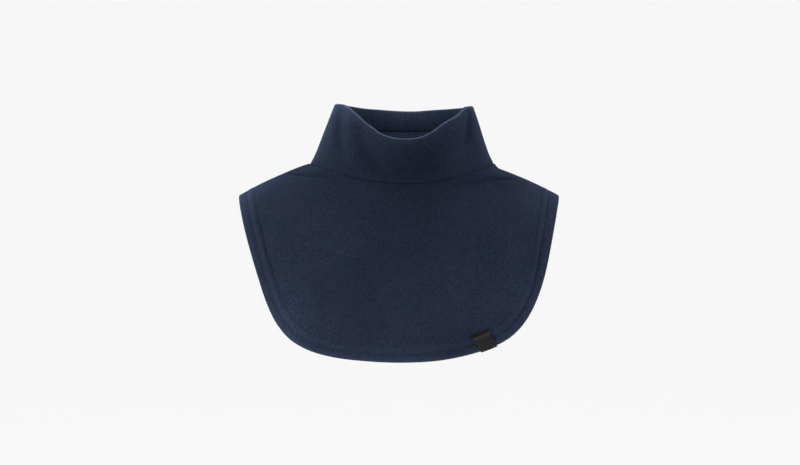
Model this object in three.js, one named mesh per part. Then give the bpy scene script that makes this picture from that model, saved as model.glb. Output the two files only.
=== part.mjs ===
// A fleece neck warmer in the form it has when worn: a standing collar sewn to a front
// and a back panel, a turned hem all the way round and a small folded label on the hem.
// Millimetres, +Z up. The origin is the middle of the neck seam, the front faces -Y and
// +X is the right-hand side of the piece as it is seen from the front.
import * as THREE from 'three';

// Cloth and sewing
const clothThickness = 2.2;
const doubleThickness = 2 * clothThickness;
const foldRadius = doubleThickness / 2;
const seamGap = 0.3;
const seamGroove = { inward: 0.9, width: 3 };
const hemWidth = 19;
const hemRows = { outer: 9.5, inner: 19, sunk: 0.6 };
const collarFacing = 28;

// Neck seam, an oval seen from above, with the dip of its front and back and the rise over
// the shoulders
const neck = { halfWidth: 96, frontDepth: 60, backDepth: 56 };
const neckDip = { front: 14.9, frontTurn: 4, frontPower: 2.6, back: 4, backPower: 2 };
const neckRise = { left: 1.8, right: 2.1, power: 12 };

// Lip of the collar, an oval that leans a little forward over the neck seam
const lip = { centreX: 2.2, centreY: -2, halfWidth: 72.2, halfDepth: 55 };

// Height of the lip round the collar, with the angle counted from the front to +X
const lipHeights = [
  { angle: -180, height: 54.1 },
  { angle: -150, height: 56.7 },
  { angle: -120, height: 61.8 },
  { angle: -90, height: 64.9 },
  { angle: -62, height: 65.4 },
  { angle: -48, height: 60.3 },
  { angle: -34, height: 48.1 },
  { angle: -20, height: 37.0 },
  { angle: -8, height: 33.1 },
  { angle: 3, height: 32.4 },
  { angle: 13, height: 33.8 },
  { angle: 22, height: 37.7 },
  { angle: 36, height: 47.2 },
  { angle: 51, height: 55.8 },
  { angle: 62, height: 61.8 },
  { angle: 78, height: 63.5 },
  { angle: 90, height: 62.4 },
  { angle: 131, height: 58.1 },
  { angle: 153, height: 55.5 },
  { angle: 180, height: 54.1 },
];

// The collar swells at the front and spreads where it meets the panels
const collarSwell = { front: 5, back: 2 };
const collarSpread = { left: 2.6, right: 3.4, power: 4 };

// Soft folds of the collar: their angle at the lip and at the seam, half width in degrees,
// height over the cloth (sunk when negative), and the stretch of the collar they cover
const collarFolds = [
  { top: -64, bottom: -39, width: 6, height: -1.6, from: 0.2, to: 1.0 },
  { top: -49, bottom: -31, width: 5, height: 1.0, from: 0.1, to: 1.1 },
  { top: -43, bottom: -12, width: 9, height: -1.8, from: 0.3, to: 1.0 },
  { top: -34, bottom: -12, width: 13, height: -0.6, from: 0.0, to: 0.6 },
  { top: -34, bottom: 2, width: 7, height: 0.9, from: 0.1, to: 0.9 },
  { top: 48, bottom: 40, width: 9, height: 1.0, from: 0.2, to: 1.1 },
  { top: 68, bottom: 31, width: 6, height: -1.6, from: 0.35, to: 1.1 },
  { top: 152, bottom: 140, width: 10, height: -1.8, from: 0.1, to: 1.0 },
  { top: 172, bottom: 165, width: 10, height: 1.2, from: 0.0, to: 1.1 },
  { top: -160, bottom: -148, width: 10, height: -1.6, from: 0.1, to: 1.0 },
];

// Path of the hem, from the left shoulder tip over the front to the right one
const frontHem = [
  { x: -171.8, y: 2, z: -32.6 },
  { x: -170, y: -20, z: -43.5 },
  { x: -164.2, y: -38.3, z: -67.9 },
  { x: -151.6, y: -56.2, z: -109.4 },
  { x: -140, y: -65.7, z: -142.6 },
  { x: -130.1, y: -69.9, z: -160.9 },
  { x: -116.9, y: -73.3, z: -175.6 },
  { x: -98, y: -76.1, z: -186.3 },
  { x: -74.3, y: -78, z: -193.1 },
  { x: -42, y: -79.1, z: -197.4 },
  { x: -0.9, y: -79.6, z: -199.3 },
  { x: 35.2, y: -79.1, z: -197.5 },
  { x: 67.9, y: -77.6, z: -191.6 },
  { x: 94.4, y: -75.4, z: -183.3 },
  { x: 112.6, y: -72.8, z: -173.7 },
  { x: 127.5, y: -69.3, z: -159.2 },
  { x: 139.3, y: -64.7, z: -139.2 },
  { x: 149.5, y: -56.4, z: -110.5 },
  { x: 157.9, y: -40.4, z: -72.7 },
  { x: 163.4, y: -20, z: -43.3 },
  { x: 165.4, y: 2, z: -32.4 },
];

// The back panel repeats the front outline at these shares of its size
const backHem = { width: 0.965, depth: 0.9, length: 0.93 };

// Fall of the panels below the level, in degrees, at the neck seam and at the hem
const fall = {
  neckLeft: 12,
  neckRight: 17.5,
  neckFront: 70,
  neckBack: 62,
  hemLeft: 26.2,
  hemRight: 23.6,
  hemFront: 91,
  hemBack: 88,
  neckPower: 0.9,
  hemPower: 0.6,
};

// The cloth of a shoulder lifts to the neck seam over this distance from it
const shoulderFlare = {
  left: { lift: 2.3, reach: 25 },
  right: { lift: 3.7, reach: 3.6 },
};

// Shallow drag folds of the panels: the column they start in at the neck and end in at the
// hem, half width as a share of the columns, height over the cloth and the stretch they cover
const panelFolds = [
  { on: 'front', top: 0.63, bottom: 0.5, width: 0.035, height: -1.8, from: 0.0, to: 0.5 },
  { on: 'front', top: 0.86, bottom: 0.9, width: 0.03, height: -1.4, from: 0.0, to: 0.45 },
  { on: 'front', top: 0.16, bottom: 0.19, width: 0.05, height: 1.6, from: 0.1, to: 0.8 },
  { on: 'front', top: 0.74, bottom: 0.72, width: 0.05, height: 1.5, from: 0.2, to: 0.9 },
  { on: 'back', top: 0.36, bottom: 0.3, width: 0.04, height: -1.8, from: 0.0, to: 0.7 },
  { on: 'back', top: 0.66, bottom: 0.73, width: 0.04, height: -1.8, from: 0.0, to: 0.65 },
  { on: 'back', top: 0.5, bottom: 0.52, width: 0.05, height: 1.4, from: 0.15, to: 0.9 },
];

// Folded label on the front hem, whose top stands a little to the left of its fold
const label = { hemX: 90.2, width: 17.6, topWidth: 20.4, reach: 16.8, lean: 3.9, thickness: 0.8 };

// A fold fades in and out over these shares of the stretch that it crosses
const foldFade = { in: 0.25, out: 0.2 };

// Steps of the meshes
const collarColumns = 60;
const collarRows = { outside: 7, inside: 3 };
const panelColumns = 48;
const panelRows = { outside: 9, inside: 6 };
const rowCrowding = 1.4;
const columnCrowding = 0.55;
const labelColumns = 6;
const edgeSteps = { cloth: 4, label: 6 };
const pathSamples = 240;
const halvings = 18;
const corrections = 6;
const nudge = 1e-3;

const fleece = { color: 0x232937, roughness: 0.96, metalness: 0 };
const fleeceCollar = { color: 0x262c3b, roughness: 0.96, metalness: 0 };
const tape = { color: 0x262222, roughness: 0.75, metalness: 0 };

const toRadians = THREE.MathUtils.degToRad;
const clamp = THREE.MathUtils.clamp;
const mix = THREE.MathUtils.lerp;
const up = new THREE.Vector3(0, 0, 1);

// Smooth value between the rows of a table that closes on itself after a full turn
function heightAt(angle) {
  let row = 0;
  while (row < lipHeights.length - 2 && lipHeights[row + 1].angle <= angle) row += 1;
  const last = lipHeights.length - 1;
  const start = lipHeights[row];
  const end = lipHeights[row + 1];
  const before = row > 0 ? lipHeights[row - 1] : shifted(lipHeights[last - 1], -360);
  const after = row + 1 < last ? lipHeights[row + 2] : shifted(lipHeights[1], 360);
  const span = end.angle - start.angle;
  const slopeStart = ((end.height - before.height) / (end.angle - before.angle)) * span;
  const slopeEnd = ((after.height - start.height) / (after.angle - start.angle)) * span;
  return hermite((angle - start.angle) / span, start.height, slopeStart, end.height, slopeEnd);
}

function shifted(row, turn) {
  return { angle: row.angle + turn, height: row.height };
}

function hermite(t, start, slopeStart, end, slopeEnd) {
  const t2 = t * t;
  const t3 = t2 * t;
  return (
    (2 * t3 - 3 * t2 + 1) * start +
    (t3 - 2 * t2 + t) * slopeStart +
    (3 * t2 - 2 * t3) * end +
    (t3 - t2) * slopeEnd
  );
}

function bell(distance, width) {
  return Math.exp(-((distance / width) ** 2));
}

// Difference of two angles, the short way round
function wrapped(turn) {
  return turn - 360 * Math.round(turn / 360);
}

function smoothStep(value) {
  const t = clamp(value, 0, 1);
  return t * t * (3 - 2 * t);
}

function neckPoint(angle) {
  const turn = toRadians(angle);
  const front = Math.cos(turn) > 0;
  const depth = front ? neck.frontDepth : neck.backDepth;
  const frontShare = Math.max(0, Math.cos(turn - toRadians(neckDip.frontTurn)));
  const backShare = Math.max(0, -Math.cos(turn));
  const dip =
    neckDip.front * frontShare ** neckDip.frontPower +
    neckDip.back * backShare ** neckDip.backPower;
  const sideRise = Math.sin(turn) > 0 ? neckRise.right : neckRise.left;
  const rise = sideRise * Math.abs(Math.sin(turn)) ** neckRise.power;
  return new THREE.Vector3(neck.halfWidth * Math.sin(turn), -depth * Math.cos(turn), rise - dip);
}

// Level direction that points out of the neck seam
function neckOutward(angle) {
  const turn = toRadians(angle);
  const depth = Math.cos(turn) > 0 ? neck.frontDepth : neck.backDepth;
  return new THREE.Vector3(Math.sin(turn) / neck.halfWidth, -Math.cos(turn) / depth, 0).normalize();
}

function lipPoint(angle) {
  const turn = toRadians(angle);
  return new THREE.Vector3(
    lip.centreX + lip.halfWidth * Math.sin(turn),
    lip.centreY - lip.halfDepth * Math.cos(turn),
    heightAt(angle),
  );
}

// Height of a set of folds at a place that is counted from the low to the high end of each
function foldHeight(folds, place, share) {
  let height = 0;
  for (const fold of folds) {
    const centre = mix(fold.bottom, fold.top, share);
    const fadeIn = smoothStep((share - fold.from) / foldFade.in);
    const fadeOut = smoothStep((fold.to - share) / foldFade.out);
    height += fold.height * bell(wrapped(place - centre), fold.width) * fadeIn * fadeOut;
  }
  return height;
}

// Outer face of the collar: share 0 is the neck seam and share 1 the lip
function collarPoint(angle, share) {
  const turn = toRadians(angle);
  const point = neckPoint(angle).lerp(lipPoint(angle), share);
  const frontness = Math.cos(turn);
  const swell = frontness > 0 ? collarSwell.front * frontness ** 2 : collarSwell.back * frontness ** 2;
  const spread = Math.sin(turn) > 0 ? collarSpread.right : collarSpread.left;
  const sideness = Math.sin(turn) ** 2;
  const bulge =
    swell * Math.sin(Math.PI * share) +
    foldHeight(collarFolds, angle, share) -
    spread * sideness * 4 * share * (1 - share) ** (collarSpread.power - 1);
  return point.addScaledVector(neckOutward(angle), bulge);
}

// A path of points at even shares of its length
class Path {
  constructor(points) {
    this.points = points;
    this.lengths = [0];
    for (let i = 1; i < points.length; i += 1) {
      this.lengths.push(this.lengths[i - 1] + points[i].distanceTo(points[i - 1]));
    }
    this.length = this.lengths[points.length - 1];
  }

  at(share) {
    const wanted = clamp(share, 0, 1) * this.length;
    let i = 1;
    while (i < this.points.length - 1 && this.lengths[i] < wanted) i += 1;
    const step = this.lengths[i] - this.lengths[i - 1];
    const part = (wanted - this.lengths[i - 1]) / step;
    return this.points[i - 1].clone().lerp(this.points[i], part);
  }
}

// The hem is one closed curve over the front and the back
const frontPoints = frontHem.map((row) => new THREE.Vector3(row.x, row.y, row.z));
const tips = [frontPoints[frontPoints.length - 1], frontPoints[0]];
const backPoints = frontPoints
  .slice(1, -1)
  .reverse()
  .map((point) => {
    const tip = point.x > 0 ? tips[0] : tips[1];
    const depthShare = clamp(-point.y / neck.frontDepth, 0, 1);
    const width = mix(1, backHem.width, depthShare);
    const drop = tip.z + (point.z - tip.z) * mix(1, backHem.length, depthShare);
    return new THREE.Vector3(point.x * width, -point.y * backHem.depth, drop);
  });
const hemCurve = new THREE.CatmullRomCurve3([...frontPoints, ...backPoints], true, 'centripetal');
const frontPart = (frontPoints.length - 1) / (frontPoints.length + backPoints.length);

function hemStretch(from, to) {
  const points = [];
  for (let i = 0; i <= pathSamples; i += 1) points.push(hemCurve.getPoint(mix(from, to, i / pathSamples)));
  return new Path(points);
}

function neckStretch(from, to) {
  const points = [];
  for (let i = 0; i <= pathSamples; i += 1) points.push(neckPoint(mix(from, to, i / pathSamples)));
  return new Path(points);
}

// Folds of a panel with their ends turned over, because its shares count down from the neck
function foldsOn(name) {
  return panelFolds
    .filter((fold) => fold.on === name)
    .map((fold) => ({ ...fold, top: fold.bottom, bottom: fold.top }));
}

const sides = {
  front: {
    hem: hemStretch(0, frontPart),
    neck: neckStretch(-90, 90),
    folds: foldsOn('front'),
    firstAngle: -90,
    facing: -1,
  },
  back: {
    hem: hemStretch(frontPart, 1),
    neck: neckStretch(90, 270),
    folds: foldsOn('back'),
    firstAngle: 90,
    facing: 1,
  },
};

// Outer face of a panel: column 0 to 1 goes round it, share 0 is the neck and 1 the hem
function panelPoint(side, column, share) {
  const seam = side.neck.at(column);
  const end = side.hem.at(column);
  const depth = side.facing < 0 ? neck.frontDepth : neck.backDepth;
  const turn = Math.atan2(seam.x / neck.halfWidth, -seam.y / depth);
  const flare = Math.sin(turn) > 0 ? shoulderFlare.right : shoulderFlare.left;
  const lift = flare.lift * Math.abs(Math.sin(turn)) ** neckRise.power;
  const start = seam.addScaledVector(up, -lift);
  const angle = THREE.MathUtils.radToDeg(turn);
  const middle = Math.abs(Math.cos(turn));
  const chord = end.clone().sub(start);
  const rightness = (1 + Math.sin(turn)) / 2;
  const neckSide = mix(fall.neckLeft, fall.neckRight, rightness);
  const hemSide = mix(fall.hemLeft, fall.hemRight, rightness);
  const neckMiddle = side.facing < 0 ? fall.neckFront : fall.neckBack;
  const hemMiddle = side.facing < 0 ? fall.hemFront : fall.hemBack;
  const neckFall = toRadians(mix(neckSide, neckMiddle, middle ** fall.neckPower));
  const hemFall = toRadians(mix(hemSide, hemMiddle, middle ** fall.hemPower));
  const away = neckOutward(angle);
  const level = new THREE.Vector3(chord.x, chord.y, 0).normalize();
  const leave = away.multiplyScalar(Math.cos(neckFall)).addScaledVector(up, -Math.sin(neckFall));
  const arrive = level.multiplyScalar(Math.cos(hemFall)).addScaledVector(up, -Math.sin(hemFall));
  const reach = chord.length();
  const point = new THREE.Vector3(
    ...['x', 'y', 'z'].map((axis) =>
      hermite(share, start[axis], leave[axis] * reach, end[axis], arrive[axis] * reach),
    ),
  );
  const facing = mix(neckFall, hemFall, share);
  const height = foldHeight(side.folds, column, share);
  return point
    .addScaledVector(neckOutward(angle), height * Math.sin(facing))
    .addScaledVector(up, height * Math.cos(facing) + lift * bell(share * reach, flare.reach));
}

function slopeOf(point, low, high) {
  return point(high).sub(point(low)).divideScalar(high - low);
}

// The two directions of a panel's face at a point, and its outward normal
function panelFrame(side, column, share) {
  const lowColumn = Math.max(0, column - nudge);
  const highColumn = Math.min(1, column + nudge);
  const lowShare = Math.max(0, share - nudge);
  const highShare = Math.min(1, share + nudge);
  const along = slopeOf((value) => panelPoint(side, value, share), lowColumn, highColumn);
  const down = slopeOf((value) => panelPoint(side, column, value), lowShare, highShare);
  const outward = down.clone().cross(along).normalize();
  return { along, down, outward };
}

const wholeHem = [...sides.front.hem.points, ...sides.back.hem.points];

function distanceToHem(point) {
  let nearest = Infinity;
  const segment = new THREE.Line3();
  const foot = new THREE.Vector3();
  for (let i = 1; i < wholeHem.length; i += 1) {
    segment.set(wholeHem[i - 1], wholeHem[i]);
    segment.closestPointToPoint(point, true, foot);
    nearest = Math.min(nearest, foot.distanceTo(point));
  }
  return nearest;
}

// Share of a column at which its point lies a given distance from the hem
function shareAtDistance(side, column, distance) {
  if (distance <= 0) return 1;
  let low = 0.4;
  let high = 1;
  for (let i = 0; i < halvings; i += 1) {
    const middle = (low + high) / 2;
    if (distanceToHem(panelPoint(side, column, middle)) > distance) low = middle;
    else high = middle;
  }
  return (low + high) / 2;
}

// Closed body from section loops that follow each other round a ring or along a strip
function shell(loops, flatSection) {
  const ring = !flatSection;
  const size = loops[0].length;
  const positions = [];
  for (const loop of loops) for (const point of loop) positions.push(point.x, point.y, point.z);
  const faces = [];
  const spans = ring ? loops.length : loops.length - 1;
  for (let i = 0; i < spans; i += 1) {
    const here = i * size;
    const next = ((i + 1) % loops.length) * size;
    for (let j = 0; j < size; j += 1) {
      const k = (j + 1) % size;
      faces.push(here + j, here + k, next + k, here + j, next + k, next + j);
    }
  }
  if (!ring) {
    const last = (loops.length - 1) * size;
    for (const [a, b, c] of THREE.ShapeUtils.triangulateShape(flatSection, [])) {
      faces.push(a, c, b, last + a, last + b, last + c);
    }
  }
  const geometry = new THREE.BufferGeometry();
  geometry.setAttribute('position', new THREE.Float32BufferAttribute(positions, 3));
  geometry.setIndex(faces);
  geometry.computeVertexNormals();
  return geometry;
}

// Turns every face over if the body is inside out
function facingOut(geometry) {
  const position = geometry.getAttribute('position');
  const index = geometry.getIndex();
  const corners = [new THREE.Vector3(), new THREE.Vector3(), new THREE.Vector3()];
  let volume = 0;
  for (let i = 0; i < index.count; i += 3) {
    corners.forEach((corner, k) => corner.fromBufferAttribute(position, index.getX(i + k)));
    volume += corners[0].dot(corners[1].clone().cross(corners[2])) / 6;
  }
  if (volume < 0) {
    for (let i = 0; i < index.count; i += 3) {
      const second = index.getX(i + 1);
      index.setX(i + 1, index.getX(i + 2));
      index.setX(i + 2, second);
    }
    geometry.computeVertexNormals();
  }
  return geometry;
}

// Section of a folded edge: distance from the edge of the cloth and depth below its face
function foldedEdge(radius, steps) {
  const places = [];
  for (let i = 1; i < steps; i += 1) {
    const turn = (Math.PI * i) / steps;
    places.push({
      distance: foldRadius - radius * Math.sin(turn),
      depth: foldRadius - radius * Math.cos(turn),
    });
  }
  return places;
}

// Line where a seam sinks between two pieces, half the gap to either side of it
function seamPoint(angle, towards) {
  return neckPoint(angle)
    .addScaledVector(neckOutward(angle), -seamGroove.inward)
    .addScaledVector(up, (towards * seamGap) / 2);
}

function collarLoop(angle) {
  const height = neckPoint(angle).distanceTo(lipPoint(angle));
  const inward = (share, depth) => {
    const low = Math.max(0, share - nudge);
    const high = Math.min(1, share + nudge);
    const rise = slopeOf((value) => collarPoint(angle, value), low, high);
    const along = slopeOf((value) => collarPoint(value, share), angle - nudge, angle + nudge);
    const outward = along.cross(rise).normalize();
    return collarPoint(angle, share).addScaledVector(outward, -depth);
  };
  const below = (distance, depth) => inward(1 - distance / height, depth);
  const seam = seamPoint(angle, 1);
  const seamInside = seam.clone().addScaledVector(neckOutward(angle), seamGroove.inward - clothThickness);
  const loop = [seam];
  const firstShare = seamGroove.width / height;
  const lastShare = 1 - foldRadius / height;
  for (let i = 0; i <= collarRows.outside; i += 1) {
    loop.push(inward(mix(firstShare, lastShare, i / collarRows.outside), 0));
  }
  for (const place of foldedEdge(foldRadius, edgeSteps.cloth)) loop.push(below(place.distance, place.depth));
  loop.push(below(foldRadius, doubleThickness));
  loop.push(below(collarFacing / 2, doubleThickness));
  loop.push(below(collarFacing, doubleThickness));
  loop.push(below(collarFacing, clothThickness));
  const innerTop = 1 - collarFacing / height;
  for (let i = 1; i < collarRows.inside; i += 1) {
    loop.push(inward(mix(innerTop, firstShare, i / collarRows.inside), clothThickness));
  }
  loop.push(seamInside);
  return loop;
}

function collarBody() {
  const loops = [];
  for (let i = 0; i < collarColumns; i += 1) loops.push(collarLoop(-180 + (360 * i) / collarColumns));
  return facingOut(shell(loops, null));
}

// Section of a panel from the neck over the hem fold and back up the inside
function panelSection() {
  const section = [{ seam: 'outside', share: 0, depth: 0 }];
  for (let i = 1; i <= panelRows.outside; i += 1) {
    section.push({ share: (i / panelRows.outside) ** rowCrowding, depth: 0 });
  }
  section.push({ distance: hemRows.inner, depth: hemRows.sunk });
  section.push({ distance: mix(hemRows.inner, hemRows.outer, 0.5), depth: 0 });
  section.push({ distance: hemRows.outer, depth: hemRows.sunk });
  section.push({ distance: hemRows.outer / 2, depth: 0 });
  section.push({ distance: foldRadius, depth: 0 });
  section.push(...foldedEdge(foldRadius, edgeSteps.cloth));
  section.push({ distance: foldRadius, depth: doubleThickness });
  section.push({ distance: hemRows.outer, depth: doubleThickness });
  section.push({ distance: hemWidth, depth: doubleThickness });
  section.push({ distance: hemWidth, depth: clothThickness });
  for (let i = panelRows.inside; i > 0; i -= 1) {
    section.push({ share: (i - 0.5) / panelRows.inside, depth: clothThickness });
  }
  section.push({ seam: 'inside', share: 0, depth: clothThickness });
  return section;
}

// The plain part of a panel ends this far from the hem, just inside the inner stitch row
const plainEnd = hemRows.inner + 4;

function panelLoop(side, column, section, shift) {
  const reach = shareAtDistance(side, column, plainEnd);
  const angle = side.firstAngle + 180 * angleShare(side, column);
  return section.map((place) => {
    if (place.seam) {
      const seam = seamPoint(angle, -1);
      if (place.seam === 'inside') {
        const rise = sectionNormal(side, column, 0, shift);
        seam.addScaledVector(rise, -(clothThickness - seamGroove.inward / 2));
      }
      return seam.add(shift);
    }
    const share = 'distance' in place ? shareAtDistance(side, column, place.distance) : place.share * reach;
    const outward = sectionNormal(side, column, share, shift);
    return panelPoint(side, column, share).addScaledVector(outward, -place.depth).add(shift);
  });
}

// At the shoulder seam the cloth is cut square, so that both panels end in one plane
function sectionNormal(side, column, share, shift) {
  const { outward } = panelFrame(side, column, share);
  return shift.y === 0 ? outward : outward.setY(0).normalize();
}

// Share of the half turn round the neck that a column has reached
function angleShare(side, column) {
  const point = side.neck.at(column);
  const depth = side.facing < 0 ? neck.frontDepth : neck.backDepth;
  const across = (-side.facing * point.x) / neck.halfWidth;
  return 0.5 + Math.atan2(across, Math.abs(point.y) / depth) / Math.PI;
}

// Columns stand closer together near the shoulders, where the cloth turns over
function columnShare(step) {
  const even = step / panelColumns;
  const gathered = 0.5 - 0.5 * Math.cos(Math.PI * even);
  return mix(even, gathered, columnCrowding);
}

function panelBody(side) {
  const section = panelSection();
  const loops = [];
  for (let i = 0; i <= panelColumns; i += 1) {
    const edge = i === 0 || i === panelColumns ? seamGap / 2 : 0;
    const shift = new THREE.Vector3(0, side.facing * edge, 0);
    loops.push(panelLoop(side, columnShare(i), section, shift));
  }
  const flatSection = section.map((place) => {
    const far = 'distance' in place ? 1 + (plainEnd - place.distance) / plainEnd : place.share;
    return new THREE.Vector2(far, place.depth / doubleThickness);
  });
  return facingOut(shell(loops, flatSection));
}

// Point on a panel at a distance in from the hem, measured square to the hem
function squareToHem(side, along, distance) {
  const column = along / side.hem.length;
  const edge = side.hem.at(column);
  const run = side.hem.at(column + nudge).sub(side.hem.at(column - nudge)).normalize();
  const { outward } = panelFrame(side, column, 1);
  const inward = outward.clone().cross(run).normalize();
  if (inward.z < 0) inward.negate();
  if (distance <= 0) return { point: edge.clone().addScaledVector(inward, distance), outward };
  const target = edge.clone().addScaledVector(inward, distance);
  let spot = { column, share: 1 };
  for (let i = 0; i < corrections; i += 1) {
    const frame = panelFrame(side, spot.column, spot.share);
    const miss = target.clone().sub(panelPoint(side, spot.column, spot.share));
    const aa = frame.along.dot(frame.along);
    const ab = frame.along.dot(frame.down);
    const bb = frame.down.dot(frame.down);
    const ma = miss.dot(frame.along);
    const mb = miss.dot(frame.down);
    const scale = aa * bb - ab * ab;
    spot = {
      column: spot.column + (ma * bb - mb * ab) / scale,
      share: clamp(spot.share + (mb * aa - ma * ab) / scale, 0, 1),
    };
  }
  return {
    point: panelPoint(side, spot.column, spot.share),
    outward: panelFrame(side, spot.column, spot.share).outward,
  };
}

function labelBody() {
  const side = sides.front;
  let along = side.hem.length;
  while (side.hem.at(along / side.hem.length).x > label.hemX) along -= 0.5;
  const inner = foldRadius + seamGap;
  const outer = inner + label.thickness;
  const section = [
    { distance: label.reach, depth: -seamGap - label.thickness },
    { distance: mix(label.reach, foldRadius, 0.5), depth: -seamGap - label.thickness },
    { distance: foldRadius, depth: -seamGap - label.thickness },
    ...foldedEdge(outer, edgeSteps.label),
    { distance: foldRadius, depth: foldRadius + outer },
    { distance: mix(label.reach, foldRadius, 0.5), depth: foldRadius + outer },
    { distance: label.reach, depth: foldRadius + outer },
    { distance: label.reach, depth: foldRadius + inner },
    { distance: mix(label.reach, foldRadius, 0.5), depth: foldRadius + inner },
    { distance: foldRadius, depth: foldRadius + inner },
    ...foldedEdge(inner, edgeSteps.label).reverse(),
    { distance: foldRadius, depth: -seamGap },
    { distance: mix(label.reach, foldRadius, 0.5), depth: -seamGap },
    { distance: label.reach, depth: -seamGap },
  ];
  const loops = [];
  for (let i = 0; i <= labelColumns; i += 1) {
    loops.push(
      section.map(({ distance, depth }) => {
        const behind = depth > foldRadius ? 1 : -1;
        const height = Math.max(0, distance) / label.reach;
        const across = mix(label.width, label.topWidth, height) * (i / labelColumns - 0.5);
        const place = along + across + behind * label.lean * height;
        const { point, outward } = squareToHem(side, place, distance);
        return point.addScaledVector(outward, -depth);
      }),
    );
  }
  const flatSection = section.map(({ distance, depth }) => new THREE.Vector2(-distance, depth));
  return facingOut(shell(loops, flatSection));
}

function piece(name, geometry, finish) {
  const mesh = new THREE.Mesh(geometry, new THREE.MeshStandardMaterial(finish));
  mesh.name = name;
  return mesh;
}

const group = new THREE.Group();
group.add(piece('collar', collarBody(), fleeceCollar));
group.add(piece('front_panel', panelBody(sides.front), fleece));
group.add(piece('back_panel', panelBody(sides.back), fleece));
group.add(piece('label', labelBody(), tape));

export default group;
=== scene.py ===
import math
import random

import bmesh
import bpy
import numpy as np
from mathutils import Matrix, Vector, noise
from mathutils.kdtree import KDTree


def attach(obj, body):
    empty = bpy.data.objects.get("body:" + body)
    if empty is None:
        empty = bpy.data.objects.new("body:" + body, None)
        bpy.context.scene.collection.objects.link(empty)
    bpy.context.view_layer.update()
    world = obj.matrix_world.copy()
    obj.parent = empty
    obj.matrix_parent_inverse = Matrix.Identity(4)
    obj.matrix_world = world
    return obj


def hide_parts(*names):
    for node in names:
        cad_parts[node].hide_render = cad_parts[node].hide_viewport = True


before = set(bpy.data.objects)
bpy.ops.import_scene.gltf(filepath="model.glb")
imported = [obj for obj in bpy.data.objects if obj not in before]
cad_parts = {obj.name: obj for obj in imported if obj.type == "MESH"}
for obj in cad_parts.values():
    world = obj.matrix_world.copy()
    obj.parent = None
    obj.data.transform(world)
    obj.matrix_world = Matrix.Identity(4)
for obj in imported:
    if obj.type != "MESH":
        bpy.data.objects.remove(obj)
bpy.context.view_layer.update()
print("frame loaded:", sorted(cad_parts))

mm = 0.001
up = np.array([0.0, 0.0, 1.0])


# Small helpers for arrays of points

def mix(low, high, share):
    return low + (high - low) * share


def unit(vectors):
    return vectors / np.linalg.norm(vectors, axis=-1, keepdims=True)


def smooth(value):
    t = np.clip(value, 0, 1)
    return t * t * (3 - 2 * t)


def either(pair, second):  # the first value, or the second where that is true
    return np.where(second, pair[1], pair[0])


def bell(distance, width):
    return np.exp(-((distance / width) ** 2))


def stack(x, y, z):
    return np.stack(np.broadcast_arrays(x, y, z), -1)


def hermite(t, start, slopeStart, end, slopeEnd):
    t2, t3 = t * t, t * t * t
    return ((2 * t3 - 3 * t2 + 1) * start + (t3 - 2 * t2 + t) * slopeStart
            + (3 * t2 - 2 * t3) * end + (t3 - t2) * slopeEnd)


def lengthsAlong(points):
    steps = np.linalg.norm(np.diff(points, axis=0), axis=1)
    return np.concatenate([[0], np.cumsum(steps)])


def evenPath(points):  # a path as a function of the share of its length
    reached = lengthsAlong(points)

    def at(share):
        wanted = np.clip(share, 0, 1) * reached[-1]
        return np.stack([np.interp(wanted, reached, points[:, k]) for k in range(3)], -1)

    return at, reached[-1]


def ripple(points, waves):  # waves are (length, height) of the cloth's soft unevenness
    flat = points.reshape(-1, 3)
    height = np.zeros(len(flat))
    for length, tall in waves:
        height += tall * np.array([noise.noise(Vector(place)) for place in flat / length])
    return height.reshape(points.shape[:-1])


foldFades = (0.25, 0.2)  # at the start and the end of a fold


def foldHeight(folds, place, share):  # each fold is (top, bottom, width, height, from, to)
    total = 0
    for top, bottom, width, height, start, end in folds:
        fade = smooth((share - start) / foldFades[0]) * smooth((end - share) / foldFades[1])
        away = place - mix(bottom, top, share)
        away = away - 360 * np.round(away / 360)  # the short way round the collar
        total = total + height * bell(away, width) * fade
    return total


# The line where the collar meets the panels, an oval with a dip at the front

neckLine = {
    "halfWidth": 96, "depth": (56, 60),  # behind and in front
    "frontDip": 14.9, "frontTurn": math.radians(4), "frontPower": 2.6,
    "backDip": 4,
    "rise": (1.8, 2.1), "risePower": 12,  # at the left and the right shoulder
    "foldRadius": 0.9,  # of the cloth turned in along the seam
    "squeeze": 0.15,  # weight of the cloth's thickness that the seam leaves
    "crowding": 1.35,  # of the rows of cloth towards the seam
    "bend": 1.4,  # from the seam, where a panel starts to turn in
    "gap": 0.15,  # from the seam's middle to either piece
    "allowance": 7.5,  # turned up inside the collar
    "insideShade": 0.3, "foldShade": 0.6,  # of the cloth hidden in the seam
    "lineShade": (0.5, 0.03),  # of the collar just over it, and its fade up the wall
}


def neckPoint(turn):
    depth = either(neckLine["depth"], np.cos(turn) > 0)
    front = np.maximum(0, np.cos(turn - neckLine["frontTurn"])) ** neckLine["frontPower"]
    back = np.maximum(0, -np.cos(turn)) ** 2
    dip = neckLine["frontDip"] * front + neckLine["backDip"] * back
    rise = either(neckLine["rise"], np.sin(turn) > 0) * np.abs(np.sin(turn)) ** neckLine["risePower"]
    return stack(neckLine["halfWidth"] * np.sin(turn), -depth * np.cos(turn), rise - dip)


def neckOutward(turn):
    depth = either(neckLine["depth"], np.cos(turn) > 0)
    return unit(stack(np.sin(turn) / neckLine["halfWidth"], -np.cos(turn) / depth, 0.0))


# Collar, a tube whose top is turned in over the facing

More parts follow.
